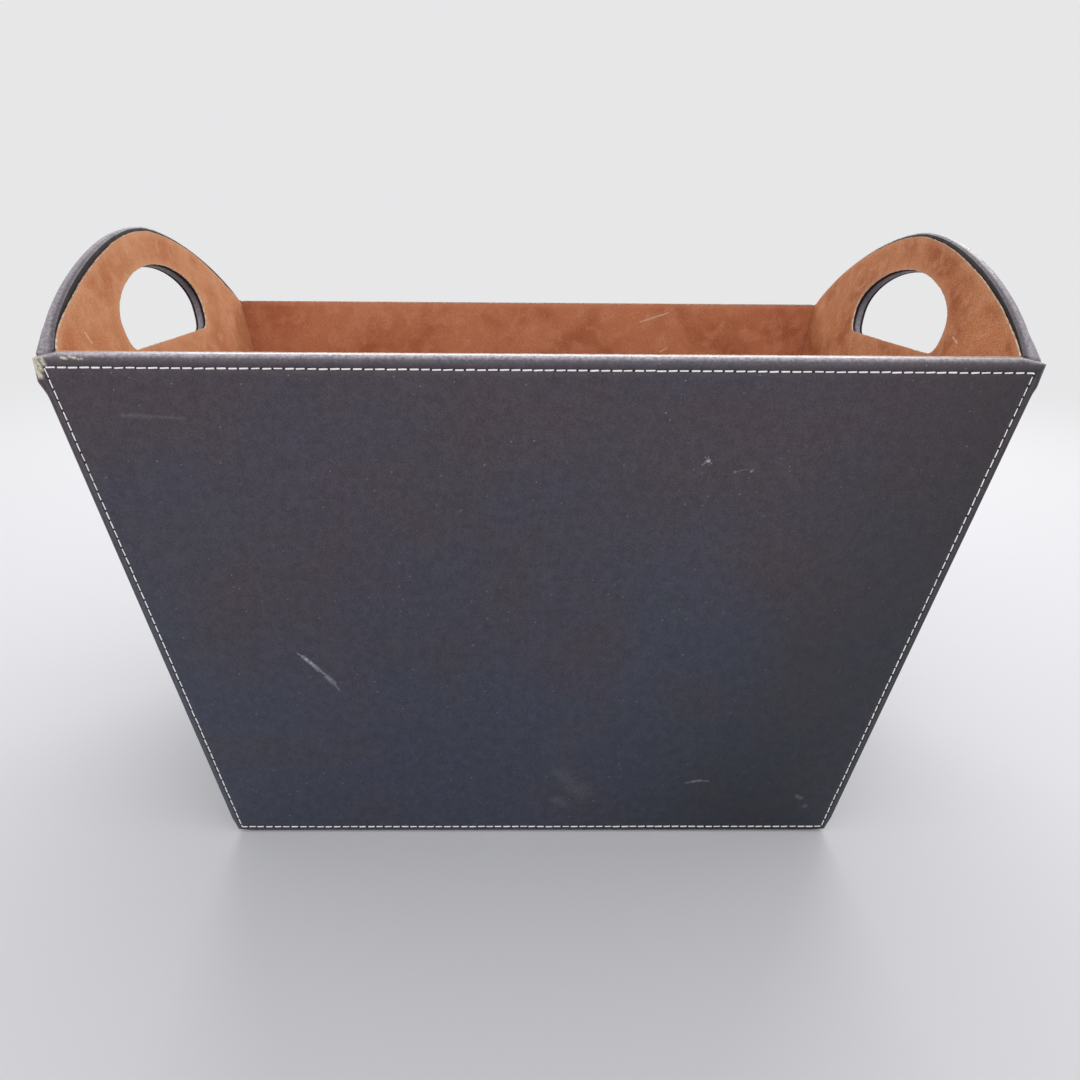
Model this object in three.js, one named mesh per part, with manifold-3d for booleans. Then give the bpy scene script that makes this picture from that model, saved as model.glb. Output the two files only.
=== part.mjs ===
// An open magazine basket: four leaning walls and a base, each wall a stiff
// board wrapped in leather and lined with suede. The two end walls rise into
// arched handles, and each has a D-shaped hand hole. Millimetres, +Z up, the
// front faces -Y, and the origin is on the floor under the middle.
import * as THREE from "three";
import { mergeVertices } from "three/addons/utils/BufferGeometryUtils.js";
import Module from "manifold-3d";

const wasm = await Module();
wasm.setup();

// The outside of the basket, leather to leather
const rimWidth = 420;
const rimDepth = 260;
const baseWidth = 326.5;
const baseDepth = 217;
const rimHeight = 264;

// The arched handles, measured up the slope of the end wall from the rim
const handleRise = 49;
const holeHalfWidth = 54.8;
const holeAboveRim = 28.8;
const holeBelowRim = 11.2;
const holeShoulderAboveRim = 4;
const holeCornerReach = 8.8;

// The curve of the arch, as shares of its half width and its rise
const flankInShare = 0.825;
const flankUpShare = 0.5;
const archCrownShare = 0.32;

// The curves of the hand hole, as shares of its sizes
const crownPullShare = 0.48;
const shoulderAcrossShare = 0.96;
const shoulderUpShare = 0.55;

// The materials
const leather = 1;
const board = 3.5;
const suede = 0.8;
const baseBoard = 4;
const underside = 1;
const seat = 0.3;

// How the leather is folded round a board
const turnIn = 9;
const sideEdgeRadius = 1.2;
const noseShare = 0.46;
const facingFlange = 6;
const rimCornerCut = 4.4;
const footCornerCut = 3;

// How the walls meet
const endSetBack = 0.2;
const undersideInset = 3;
const liningBelowRim = 0.3;
const liningBelowArch = 2.8;
const liningHoleClearance = 0.4;

// The white stitching
const seamBelowRim = 5.6;
const seamFromSide = 3.3;
const seamAboveFoot = 2.6;
const thread = 0.8;
const furrowWidth = 1.6;
const furrowDepth = 0.5;

// How far a cut runs past what it cuts
const overrun = 20;

// The number of straight pieces that stand for each curve
const archSteps = 18;
const holeSteps = 12;
const noseSteps = 4;

// Worked out from the sizes above
const panel = leather + seat + board + seat + leather;
const frontLean = Math.atan((rimDepth - baseDepth) / 2 / rimHeight);
const endLean = Math.atan((rimWidth - baseWidth) / 2 / rimHeight);
const foot = underside + seat;
const floor = foot + baseBoard + seat;
const liningFace = panel + seat + suede;

// A slope distance up a wall that leans, for a height above the floor
const upSlope = (height, lean) => height / Math.cos(lean);

// A closed three.js geometry as a solid, and back
function solidOf(geometry) {
  const bare = geometry.clone();
  bare.deleteAttribute("normal");
  bare.deleteAttribute("uv");
  const merged = mergeVertices(bare);
  return new wasm.Manifold(
    new wasm.Mesh({
      numProp: 3,
      vertProperties: merged.getAttribute("position").array,
      triVerts: new Uint32Array(merged.index.array),
    }),
  );
}

function geometryOf(solid) {
  const mesh = solid.getMesh();
  const geometry = new THREE.BufferGeometry();
  const points = new THREE.BufferAttribute(mesh.vertProperties, 3);
  geometry.setAttribute("position", points);
  geometry.setIndex(new THREE.BufferAttribute(mesh.triVerts, 1));
  geometry.computeVertexNormals();
  return geometry;
}

// A convex outline, drawn anticlockwise, with every side moved in by a distance
function inset(outline, distance) {
  const sides = outline.map((point, i) => {
    const next = outline[(i + 1) % outline.length];
    const along = next.clone().sub(point).normalize();
    const inward = new THREE.Vector2(-along.y, along.x);
    return { along, start: point.clone().addScaledVector(inward, distance) };
  });
  return sides.map((side, i) => {
    const before = sides[(i + sides.length - 1) % sides.length];
    const across = before.along.cross(side.along);
    const reach = side.start.clone().sub(before.start).cross(side.along) / across;
    return before.start.clone().addScaledVector(before.along, reach);
  });
}

// A flat sheet with that outline, between two depths below the outer face
function sheet(outline, depth, thickness) {
  const geometry = new THREE.ExtrudeGeometry(new THREE.Shape(outline), {
    depth: thickness,
    bevelEnabled: false,
  });
  geometry.translate(0, 0, -depth - thickness);
  return solidOf(geometry);
}

// The same with rounded edges: radius is how far the rounding reaches in along
// the sheet, and roundness how much of the thickness it takes on each face
function roundedSheet(outline, depth, thickness, radius, roundness) {
  const geometry = new THREE.ExtrudeGeometry(new THREE.Shape(outline), {
    depth: thickness - 2 * roundness,
    bevelSize: radius,
    bevelOffset: -radius,
    bevelThickness: roundness,
    bevelSegments: noseSteps,
  });
  geometry.translate(0, 0, roundness - depth - thickness);
  return solidOf(geometry);
}

// Half the length of the front wall, and half the room between the long
// panels, at a height above the floor
const frontHalf = (height) => baseWidth / 2 + height * Math.tan(endLean);
const endHalf = (height, inwards) =>
  baseDepth / 2 + height * Math.tan(frontLean) - inwards / Math.cos(frontLean);
const betweenEnds = (height, inwards) =>
  frontHalf(height) - (endSetBack + inwards) / Math.cos(endLean);

// The four-sided outline of a wall between two slope distances
function sides(half, lean, low, high) {
  const lowHalf = half(low * Math.cos(lean));
  const highHalf = half(high * Math.cos(lean));
  return [
    new THREE.Vector2(-lowHalf, low),
    new THREE.Vector2(lowHalf, low),
    new THREE.Vector2(highHalf, high),
    new THREE.Vector2(-highHalf, high),
  ];
}

// The middle of the nose, half a panel in, is what stands at the rim's height
const rimSlope = (lean) => (rimHeight - (panel / 2) * Math.sin(lean)) / Math.cos(lean);

const archHalf = endHalf(rimHeight, panel + seat);

// The arch springs from the corners of the rim and is flattest at its crown.
// Past the corners the outline runs on straight, so that only the arch cuts.
function archOutline() {
  const rim = rimSlope(endLean);
  const crown = rim + handleRise;
  const flank = rim + handleRise * flankUpShare;
  const flankHalf = archHalf * flankInShare;
  const crownHalf = archHalf * archCrownShare;
  const slope = (handleRise * flankUpShare) / (archHalf - flankHalf);
  const shape = new THREE.Shape();
  shape.moveTo(-archHalf - overrun, -overrun);
  shape.lineTo(archHalf + overrun, -overrun);
  shape.lineTo(archHalf + overrun, rim - overrun * slope);
  shape.lineTo(archHalf, rim);
  shape.bezierCurveTo(flankHalf, flank, crownHalf, crown, 0, crown);
  shape.bezierCurveTo(-crownHalf, crown, -flankHalf, flank, -archHalf, rim);
  shape.lineTo(-archHalf - overrun, rim - overrun * slope);
  return shape.getPoints(archSteps);
}

function rimOutline() {
  const rim = rimSlope(frontLean);
  const half = rimWidth / 2 + overrun;
  return [
    new THREE.Vector2(-half, -overrun),
    new THREE.Vector2(half, -overrun),
    new THREE.Vector2(half, rim),
    new THREE.Vector2(-half, rim),
  ];
}

// The leather folds round the free corners of the rim, which are cut off at 45
// degrees. The cuts run on straight past the sides.
function cutRimOutline() {
  const [lowLeft, lowRight, highRight, highLeft] = rimOutline();
  const reach = overrun + rimCornerCut;
  const right = new THREE.Vector2(reach, 0);
  const down = new THREE.Vector2(0, reach);
  return [
    lowLeft,
    lowRight,
    highRight.clone().sub(down),
    highRight.clone().sub(right),
    highLeft.clone().add(right),
    highLeft.clone().sub(down),
  ];
}

// The clear outline of the hand hole: a flat foot, round lower corners and a
// low crown, drawn anticlockwise from the left end of the foot
function holeOutline() {
  const rim = rimSlope(endLean);
  const low = rim - holeBelowRim;
  const high = rim + holeAboveRim;
  const shoulder = rim + holeShoulderAboveRim;
  const footHalf = holeHalfWidth - holeCornerReach;
  const pull = holeHalfWidth * crownPullShare;
  const across = holeHalfWidth * shoulderAcrossShare;
  const up = shoulder + (high - shoulder) * shoulderUpShare;
  const shape = new THREE.Shape();
  shape.moveTo(-footHalf, low);
  shape.lineTo(footHalf, low);
  shape.quadraticCurveTo(holeHalfWidth, low, holeHalfWidth, shoulder);
  shape.bezierCurveTo(across, up, pull, high, 0, high);
  shape.bezierCurveTo(-pull, high, -across, up, -holeHalfWidth, shoulder);
  shape.quadraticCurveTo(-holeHalfWidth, low, -footHalf, low);
  return shape.getPoints(holeSteps).slice(0, -1);
}

// A wall's footprint holds its two sides and its foot. It runs past the crown,
// so that only its sides and foot cut.
function footprint(lean, half, low) {
  const high = upSlope(rimHeight, lean) + handleRise + overrun;
  return sides(half, lean, upSlope(low, lean), high);
}

// The same with its two lower corners cut off
function cutFootprint(lean, half, low) {
  const [left, right, highRight, highLeft] = footprint(lean, half, low);
  const inward = new THREE.Vector2(footCornerCut, 0);
  const up = highRight.clone().sub(right).setLength(footCornerCut);
  const upLeft = highLeft.clone().sub(left).setLength(footCornerCut);
  return [
    left.clone().add(inward),
    right.clone().sub(inward),
    right.clone().add(up),
    highRight,
    highLeft,
    left.clone().add(upLeft),
  ];
}

// The two kinds of wall. The crown is the free edge that the seam and the
// lining follow. The free edge and the body bound the panel itself.
const longWall = {
  lean: frontLean,
  crown: rimOutline(),
  freeEdge: cutRimOutline(),
  body: cutFootprint(frontLean, frontHalf, foot),
  liningBelow: liningBelowRim,
  half: (height) => frontHalf(height),
  liningHalf: (height) => betweenEnds(height, panel + seat),
};
const endWall = {
  lean: endLean,
  crown: archOutline(),
  freeEdge: archOutline(),
  body: footprint(endLean, (height) => endHalf(height, panel + seat), foot),
  liningBelow: liningBelowArch,
  half: (height) => endHalf(height, panel + seat),
  liningHalf: (height) => endHalf(height, liningFace + seat),
  hole: holeOutline(),
};

// The body of a panel, with all its faces moved in by a distance: a full nose
// along the crown and small rounds at the sides and foot
function panelBody(wall, distance) {
  const thickness = panel - 2 * distance;
  const nose = thickness * noseShare;
  const edge = Math.max(sideEdgeRadius - distance, seat);
  const crown = roundedSheet(
    inset(wall.freeEdge, distance), distance, thickness, nose, nose);
  const body = roundedSheet(
    inset(wall.body, distance), distance, thickness, edge, edge);
  return crown.intersect(body);
}

// The board fills the wrap but for the seat, and has the hole with room for
// the facing
function boardOf(wall) {
  const body = panelBody(wall, leather + seat);
  if (!wall.hole) return body;
  return body.subtract(sheet(inset(wall.hole, -leather - seat), -overrun, 2 * overrun));
}

// The window in the back of a wrap, inside the turned-in leather
function windowOf(wall, distance, depth, thickness) {
  const crown = sheet(inset(wall.crown, distance), depth, thickness);
  const body = sheet(
    inset(footprint(wall.lean, wall.half, foot), distance), depth, thickness);
  return crown.intersect(body);
}

// Where the stitches run: an outline that keeps its own distances from the
// crown, the sides and the foot, as a band of a certain width
function seamBand(wall, width, depth, thickness) {
  const low = foot + seamAboveFoot - seamFromSide;
  const ring = (extra) =>
    sheet(inset(wall.crown, seamBelowRim + extra), depth, thickness).intersect(
      sheet(
        inset(footprint(wall.lean, wall.half, low), seamFromSide + extra),
        depth, thickness),
    );
  return ring(-width / 2).subtract(ring(width / 2));
}

// The leather: a hollow wrap, open at the window, with a furrow for the seam
function coverOf(wall) {
  const inside = panel - leather - seat;
  let cover = panelBody(wall, 0)
    .subtract(panelBody(wall, leather))
    .subtract(windowOf(wall, turnIn, inside, leather + overrun))
    .subtract(seamBand(wall, furrowWidth, -overrun, overrun + furrowDepth));
  if (wall.hole) {
    const flange = facingFlange + seat;
    cover = cover
      .subtract(sheet(wall.hole, -overrun, 2 * overrun))
      .subtract(sheet(inset(wall.hole, -flange), inside, leather + overrun));
  }
  return cover;
}

// The thread lies in the furrow and stands a little proud of the leather
function threadOf(wall) {
  return seamBand(wall, thread, furrowDepth - seat - thread, thread);
}

// The leather strip in the hole: a wall as deep as the board, with a flange
// that is glued to the board's inner face under the lining
function facingOf(wall) {
  const start = leather + seat;
  const flange = sheet(
    inset(wall.hole, -facingFlange), panel - leather, leather);
  const strip = sheet(inset(wall.hole, -leather), start, panel - start);
  return strip.add(flange).subtract(sheet(wall.hole, -overrun, 2 * overrun));
}

// The suede lies over the turned-in leather, and its backing fills the window
function liningOf(wall) {
  const body = sheet(footprint(wall.lean, wall.liningHalf, floor), 0, 2 * panel);
  const skin = sheet(inset(wall.crown, wall.liningBelow), panel + seat, suede);
  const backing = windowOf(
    wall, turnIn + seat, panel - leather, leather + seat + suede / 2);
  if (!wall.hole) return skin.add(backing).intersect(body);
  const overFlange = inset(wall.hole, -facingFlange - seat);
  const hole = inset(wall.hole, -liningHoleClearance);
  return skin
    .add(backing.subtract(sheet(overFlange, 0, panel + seat)))
    .intersect(body)
    .subtract(sheet(hole, 0, 2 * panel));
}

const finishes = {
  leather: { color: 0x413f47, roughness: 0.55, metalness: 0 },
  suede: { color: 0xb9754c, roughness: 0.95, metalness: 0 },
  board: { color: 0x9c8466, roughness: 0.85, metalness: 0 },
  thread: { color: 0xe9e6e2, roughness: 0.8, metalness: 0 },
  underside: { color: 0x2b2a2d, roughness: 0.95, metalness: 0 },
};

function piece(name, geometry, finish) {
  const material = new THREE.MeshStandardMaterial(finishes[finish]);
  const mesh = new THREE.Mesh(geometry, material);
  mesh.name = name;
  return mesh;
}

// A wall's own frame, leant outwards and set on its side of the basket
function standing(turn, reach, lean) {
  const side = new THREE.Group();
  side.rotation.z = turn;
  const wall = new THREE.Group();
  wall.position.y = -reach;
  wall.rotation.x = Math.PI / 2 + lean;
  side.add(wall);
  return { side, wall };
}

// The four walls: each kind is made once and stands twice
function wallPieces(wall) {
  const pieces = [
    ["cover", geometryOf(coverOf(wall)), "leather"],
    ["board", geometryOf(boardOf(wall)), "board"],
    ["lining", geometryOf(liningOf(wall)), "suede"],
    ["seam_thread", geometryOf(threadOf(wall)), "thread"],
  ];
  if (wall.hole) {
    pieces.push(["hand_hole_facing", geometryOf(facingOf(wall)), "leather"]);
  }
  return pieces;
}

function addWall(basket, prefix, pieces, turn, reach, lean) {
  const { side, wall } = standing(turn, reach, lean);
  for (const [part, geometry, finish] of pieces) {
    const ofHandle = part === "hand_hole_facing";
    const start = ofHandle ? prefix.replace("_end", "") : prefix;
    wall.add(piece(start + "_" + part, geometry.clone(), finish));
  }
  basket.add(side);
}

// A level sheet between the walls, from a height up
function level(halfWidth, halfDepth, height, thickness) {
  const geometry = new THREE.BoxGeometry(2 * halfWidth, 2 * halfDepth, thickness);
  return geometry.translate(0, 0, height + thickness / 2);
}

function addBase(basket) {
  const inner = panel + seat;
  basket.add(
    piece(
      "base_board",
      level(betweenEnds(foot, inner), endHalf(foot, inner), foot, baseBoard),
      "board",
    ),
  );
  const lined = liningFace + seat;
  basket.add(
    piece(
      "base_lining",
      level(betweenEnds(floor, lined), endHalf(floor, lined), floor, suede),
      "suede",
    ),
  );
  basket.add(
    piece(
      "underside_sheet",
      level(
        baseWidth / 2 - undersideInset, baseDepth / 2 - undersideInset, 0, underside),
      "underside",
    ),
  );
}

const basket = new THREE.Group();
const longPieces = wallPieces(longWall);
const endPieces = wallPieces(endWall);
const endReach = baseWidth / 2 - endSetBack / Math.cos(endLean);
addWall(basket, "front", longPieces, 0, baseDepth / 2, frontLean);
addWall(basket, "back", longPieces, Math.PI, baseDepth / 2, frontLean);
addWall(basket, "right_end", endPieces, Math.PI / 2, endReach, endLean);
addWall(basket, "left_end", endPieces, -Math.PI / 2, endReach, endLean);
addBase(basket);

export default basket;
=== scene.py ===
import math
import random

import bpy
import numpy as np
from mathutils import Matrix, Vector, noise


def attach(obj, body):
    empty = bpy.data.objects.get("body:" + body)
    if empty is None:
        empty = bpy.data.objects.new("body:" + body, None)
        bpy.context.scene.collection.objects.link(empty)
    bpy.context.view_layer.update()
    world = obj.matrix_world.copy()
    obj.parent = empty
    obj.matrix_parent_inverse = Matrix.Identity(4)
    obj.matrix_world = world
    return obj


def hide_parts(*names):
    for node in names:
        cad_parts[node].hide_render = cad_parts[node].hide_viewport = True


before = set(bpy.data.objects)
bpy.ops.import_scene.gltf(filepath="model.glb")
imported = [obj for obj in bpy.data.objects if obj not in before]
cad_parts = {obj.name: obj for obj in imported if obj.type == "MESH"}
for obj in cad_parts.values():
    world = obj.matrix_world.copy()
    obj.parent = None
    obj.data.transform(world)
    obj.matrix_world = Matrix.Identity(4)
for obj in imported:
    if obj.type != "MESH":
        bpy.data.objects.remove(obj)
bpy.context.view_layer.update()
bpy.ops.object.select_all(action="DESELECT")
print("frame loaded:", len(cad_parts), "nodes")

# Every wall is modelled lying flat, in millimetres: x along it, y up its slope and its outer
# face upwards at z = 0. Then it is stood in its place, in metres.
basket = {
    "rimWidth": 420,
    "rimDepth": 260,
    "baseWidth": 326.5,
    "baseDepth": 217,
    "rimHeight": 264,
    "panel": 6.1,  # a board in its leather
    "leather": 1,
    "board": 3.5,
    "suede": 0.8,
    "seat": 0.3,  # the glue between two pieces
    "setBack": 0.2,  # the ends lie this far inside the sides of the front
    "foot": 1.3,
    "floor": 5.6,
}
hole = {
    "half": 54.8,
    "above": 28.8,  # the rim
    "below": 11.2,  # the rim
    "shoulder": 4,
    "corner": 8.8,
    "crownPull": 0.48,
    "shoulderAcross": 0.96,
    "shoulderUp": 0.55,
    "evened": 9,  # how far round it a grid is evened out
}

# The two handles were cut by hand, so each has its own arch and place for the hole. The
# shares are of the arch's half width and rise, and bare lists how much leather shows round
# the suede, from the front of the basket to its back.
arches = {
    "left": {
        "front": 1,  # the side of x where the front of the basket is
        "rise": 48.9,
        "peak": -3.9,
        "frontIn": 0.958, "frontUp": 0.327, "frontPull": 0.391,
        "backIn": 0.744, "backUp": 0.552, "backPull": 0.298,
        "hole": -4.7,
        "bare": [(-122, 1.3), (-110, 2.3), (-95, 3.4), (-70, 3.6), (-40, 2.9), (0, 2.5),
                 (60, 2.7), (100, 4.4), (122, 3)],
    },
    "right": {
        "front": -1,
        "rise": 49,
        "peak": 0.9,
        "frontIn": 0.772, "frontUp": 0.574, "frontPull": 0.288,
        "backIn": 0.825, "backUp": 0.535, "backPull": 0.315,
        "hole": -1.2,
        "bare": [(-122, 1.6), (-110, 2.5), (-90, 3), (-60, 3.3), (0, 2.4), (60, 2.2), (122, 2.4)],
    },
}

millimetre = 0.001
softAngle = 40  # edges under this many degrees are shaded smooth
liningFace = basket["panel"] + basket["seat"] + basket["suede"]
frontLean = math.atan((basket["rimDepth"] - basket["baseDepth"]) / 2 / basket["rimHeight"])
endLean = math.atan((basket["rimWidth"] - basket["baseWidth"]) / 2 / basket["rimHeight"])


def rimSlope(lean):  # the rim's height, measured up the slope
    return (basket["rimHeight"] - basket["panel"] / 2 * math.sin(lean)) / math.cos(lean)


def curve(start, first, second, end, steps=40):
    t = np.linspace(0, 1, steps + 1)[:, None]
    a, b, c, d = (np.array(point, float) for point in (start, first, second, end))
    return (1 - t) ** 3 * a + 3 * (1 - t) ** 2 * t * b + 3 * (1 - t) * t ** 2 * c + t ** 3 * d


# A wall's free edge is kept as the lines that touch it: a point and a slope each
def archCrown(arch):
    half = basket["rimDepth"] / 2 - (basket["panel"] + basket["seat"]) / math.cos(frontLean)
    rise, peak = arch["rise"], arch["peak"]
    front = curve(
        (-half, 0), (-half * arch["frontIn"], rise * arch["frontUp"]),
        (peak - half * arch["frontPull"], rise), (peak, rise))
    back = curve(
        (peak, rise), (peak + half * arch["backPull"], rise),
        (half * arch["backIn"], rise * arch["backUp"]), (half, 0))
    points = np.concatenate([front, back[1:]])
    steps = np.diff(points, axis=0)
    middles = (points[1:] + points[:-1]) / 2
    lines = np.column_stack([middles, steps[:, 1] / steps[:, 0]])
    lines[:, 1] += rimSlope(endLean)
    return lines * [-arch["front"], 1, -arch["front"]]


def longWall(turn):
    inner = basket["setBack"] + basket["panel"] + basket["seat"]
    spread = math.cos(frontLean) * math.tan(endLean)
    return {
        "turn": turn,
        "reach": basket["baseDepth"] / 2,
        "lean": frontLean,
        "side": (basket["baseWidth"] / 2, spread),  # half the foot, and how it widens
        "liningSide": (basket["baseWidth"] / 2 - inner / math.cos(endLean), spread),
        "crown": np.array([[0, rimSlope(frontLean), 0]]),
    }


def endWall(turn, arch):
    inner = basket["panel"] + basket["seat"]
    spread = math.cos(endLean) * math.tan(frontLean)
    half = basket["baseDepth"] / 2
    return {
        "turn": turn,
        "reach": basket["baseWidth"] / 2 - basket["setBack"] / math.cos(endLean),
        "lean": endLean,
        "side": (half - inner / math.cos(frontLean), spread),
        "liningSide": (half - (liningFace + basket["seat"]) / math.cos(frontLean), spread),
        "crown": archCrown(arch),
        "arch": arch,
    }


walls = {
    "front": longWall(0),
    "back": longWall(math.pi),
    "right_end": endWall(math.pi / 2, arches["right"]),
    "left_end": endWall(-math.pi / 2, arches["left"]),
}


# The height of the free edge at x, with the edge moved in by an inset
def crownAt(wall, x, inset):
    atX, atY, slope = wall["crown"].T
    lines = atY + slope * (x[:, None] - atX) - inset[:, None] * np.sqrt(1 + slope ** 2)
    return lines.min(axis=1)


# Places on a wall from shares: across runs from -1 to 1 between its sides and up from 0 to 1
# between foot and free edge, each of them moved in by its own inset
def placeOn(wall, side, low, across, up, sideInset, crownInset, footInset):
    near, spread = side
    steep = math.sqrt(1 + spread ** 2)
    foot = low / math.cos(wall["lean"]) + footInset
    y = foot
    for _ in range(16):
        x = across * (near + spread * y - steep * sideInset)
        y = foot + up * (crownAt(wall, x, crownInset) - foot)
    return x, y


# Half of the hand hole's outline runs up from the middle of its foot, and the other half is
# its mirror image. Gives the points and the directions outwards.
def holeOutline(arch, steps=24):
    rim = rimSlope(endLean)
    low, high, shoulder = rim - hole["below"], rim + hole["above"], rim + hole["shoulder"]
    half, footHalf = hole["half"], hole["half"] - hole["corner"]
    foot = np.column_stack([np.linspace(0, footHalf, steps + 1), np.full(steps + 1, low)])
    third = 2 / 3  # a corner with one handle, as a curve with two
    corner = curve(
        (footHalf, low), (footHalf + third * hole["corner"], low),
        (half, shoulder - third * (shoulder - low)), (half, shoulder), steps)
    shoulderPull = shoulder + (high - shoulder) * hole["shoulderUp"]
    crown = curve(
        (half, shoulder), (half * hole["shoulderAcross"], shoulderPull),
        (half * hole["crownPull"], high), (0, high), steps)
    right = np.concatenate([foot[:-1], corner[:-1], crown])
    outline = np.concatenate([right, (right * [-1, 1])[::-1][1:-1]])
    outline[:, 0] -= arch["hole"] * arch["front"]
    ahead = np.roll(outline, -1, axis=0) - np.roll(outline, 1, axis=0)
    outward = np.column_stack([ahead[:, 1], -ahead[:, 0]])
    return outline, outward / np.linalg.norm(outward, axis=1)[:, None]


# The same moved outwards, but held back at its foot, where a sheet may stand over the edge
def holeEdge(arch, offset, overhang=0):
    outline, outward = holeOutline(arch)
    out = offset - overhang * np.clip(-outward[:, 1], 0, 1)
    return outline + outward * out[:, None]


def sidesOf(outline):
    return zip(outline, np.roll(outline, -1, axis=0) - outline)


def distanceFrom(outline, points):
    nearest = np.full(len(points), 1e9)
    for start, along in sidesOf(outline):
        t = np.clip((points - start) @ along / (along @ along), 0, 1)
        gap = points - start - t[:, None] * along
        nearest = np.minimum(nearest, np.hypot(gap[:, 0], gap[:, 1]))
    return nearest


def insideOf(outline, points):
    inside = np.ones(len(points), bool)
    for start, along in sidesOf(outline):
        inside &= along[0] * (points[:, 1] - start[1]) > along[1] * (points[:, 0] - start[0])
    return inside


# Reading and writing a mesh's vertices, all at once
def places(piece):
    points = np.zeros(len(piece.data.vertices) * 3)
    piece.data.vertices.foreach_get("co", points)
    return points.reshape(-1, 3)


def setPlaces(piece, points):
    piece.data.vertices.foreach_set("co", points.ravel())
    piece.data.update()


def store(piece, name, values):
    layer = piece.data.attributes.get(name) or piece.data.attributes.new(name, "FLOAT", "POINT")
    layer.data.foreach_set("value", np.asarray(values, np.float32))


def fetch(piece, name):
    values = np.zeros(len(piece.data.vertices), np.float32)
    piece.data.attributes[name].data.foreach_get("value", values)
    return values.astype(float)


def chosen(piece):
    picked = np.zeros(len(piece.data.vertices), bool)
    piece.data.vertices.foreach_get("select", picked)
    return picked


def choose(piece, vertices=False, faces=False):
    mesh = piece.data
    for group, picked in ((mesh.vertices, vertices), (mesh.edges, False), (mesh.polygons, faces)):
        group.foreach_set("select", np.full(len(group), False) | picked)


def only(piece):
    bpy.ops.object.select_all(action="DESELECT")
    piece.select_set(True)
    bpy.context.view_layer.objects.active = piece


def edit(piece, kind="VERT"):
    only(piece)
    bpy.ops.object.mode_set(mode="EDIT")
    bpy.ops.mesh.select_mode(type=kind)


def done():
    bpy.ops.object.mode_set(mode="OBJECT")


def drawOut(piece):  # a new row from the chosen edge, which is chosen in its place
    edit(piece)
    bpy.ops.mesh.extrude_region_move()
    done()
    return chosen(piece)


def flip(piece):
    edit(piece)
    bpy.ops.mesh.select_all(action="SELECT")
    bpy.ops.mesh.flip_normals()
    done()


def primitive(name, add, **settings):
    bpy.ops.object.select_all(action="DESELECT")
    add(**settings)
    piece = bpy.context.object
    piece.name = piece.data.name = name
    return piece


def finishWith(piece, kind, **settings):
    only(piece)
    bpy.ops.object.modifier_add(type=kind)
    modifier = piece.modifiers[-1]
    for name, value in settings.items():
        setattr(modifier, name, value)
    bpy.ops.object.modifier_apply(modifier=modifier.name)


def thicken(piece, thickness, **settings):
    finishWith(piece, "SOLIDIFY", thickness=thickness, offset=-1, **settings)


def smoothUnder(piece, degrees):
    only(piece)
    bpy.ops.object.shade_smooth_by_angle(angle=math.radians(degrees))


# From the bench to its place in the basket
def stand(piece, wall):
    only(piece)
    piece.matrix_world = (
        Matrix.Scale(millimetre, 4)
        @ Matrix.Rotation(wall["turn"], 4, "Z")
        @ Matrix.Translation((0, -wall["reach"], 0))
        @ Matrix.Rotation(math.pi / 2 + wall["lean"], 4, "X"))
    bpy.ops.object.transform_apply(location=True, rotation=True, scale=True)


def wave(points, length, height, seed):
    return np.array(
        [height * noise.noise(Vector((x / length, y / length, seed))) for x, y in points[:, :2]])


def ripple(piece, values, seed):
    points = places(piece)
    points[:, 2] += wave(points, values["waveLength"], values["waveHeight"], seed)
    setPlaces(piece, points)


def fray(way):  # how a raw edge strays, along its way
    return np.array(
        [noise.noise(Vector((a / 3.4, 7, 0))) + noise.noise(Vector((a / 11, 5, 0))) for a in way])


def closedUp(line):
    return np.vstack([line, line[:1]])


def wayAlong(line):  # how far along a line each of its points lies
    return np.concatenate([[0], np.cumsum(np.hypot(*np.diff(line, axis=0).T))])


def valuesAt(at, way, table):
    return np.column_stack([np.interp(at, way, table[:, axis]) for axis in (0, 1)])


# The shares across a wall of even steps along its free edge
def evenShares(wall, side, inset, step):
    near, spread = side
    reach = near + spread * rimSlope(wall["lean"]) - inset
    x = np.linspace(-reach, reach, 600)
    way = wayAlong(np.column_stack([x, crownAt(wall, x, np.zeros(len(x)))]))
    count = round(way[-1] / step)
    return np.interp(np.linspace(0, way[-1], count + 1), way, x) / reach


# A flat grid with the shares and insets of a wall's outline on its vertices. The insets of
# the border rows are listed from the edge inwards; at the last, the even rows begin.
def cutGrid(name, wall, side, insets, step):
    sides, crowns, feet = insets["side"], insets["crown"], insets["foot"]
    columns = evenShares(wall, side, sides[-1], step)
    rows = np.linspace(0, 1, round(rimSlope(wall["lean"]) / step) + 1)
    ends, below, above = len(sides) - 1, len(feet) - 1, len(crowns) - 1
    across = np.concatenate([np.full(ends, -1.0), columns, np.full(ends, 1.0)])
    sideInset = np.concatenate([sides[:-1], np.full(len(columns), sides[-1]), sides[-2::-1]])
    up = np.concatenate([np.zeros(below), rows, np.ones(above)])
    footInset = np.concatenate([feet[:-1], np.full(len(rows) + above, feet[-1])])
    crownInset = np.concatenate([np.full(below + len(rows), crowns[-1]), crowns[-2::-1]])

    piece = primitive(
        name, bpy.ops.mesh.primitive_grid_add,
        x_subdivisions=len(across) - 1, y_subdivisions=len(up) - 1, size=2)
    column = np.tile(np.arange(len(across)), len(up))
    row = np.repeat(np.arange(len(up)), len(across))
    store(piece, "across", across[column])
    store(piece, "sideInset", sideInset[column])
    store(piece, "up", up[row])
    store(piece, "footInset", footInset[row])
    store(piece, "crownInset", crownInset[row])
    lastColumn, lastRow = len(across) - 1, len(up) - 1
    store(piece, "border", (column % lastColumn == 0) | (row % lastRow == 0))
    return piece


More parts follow.
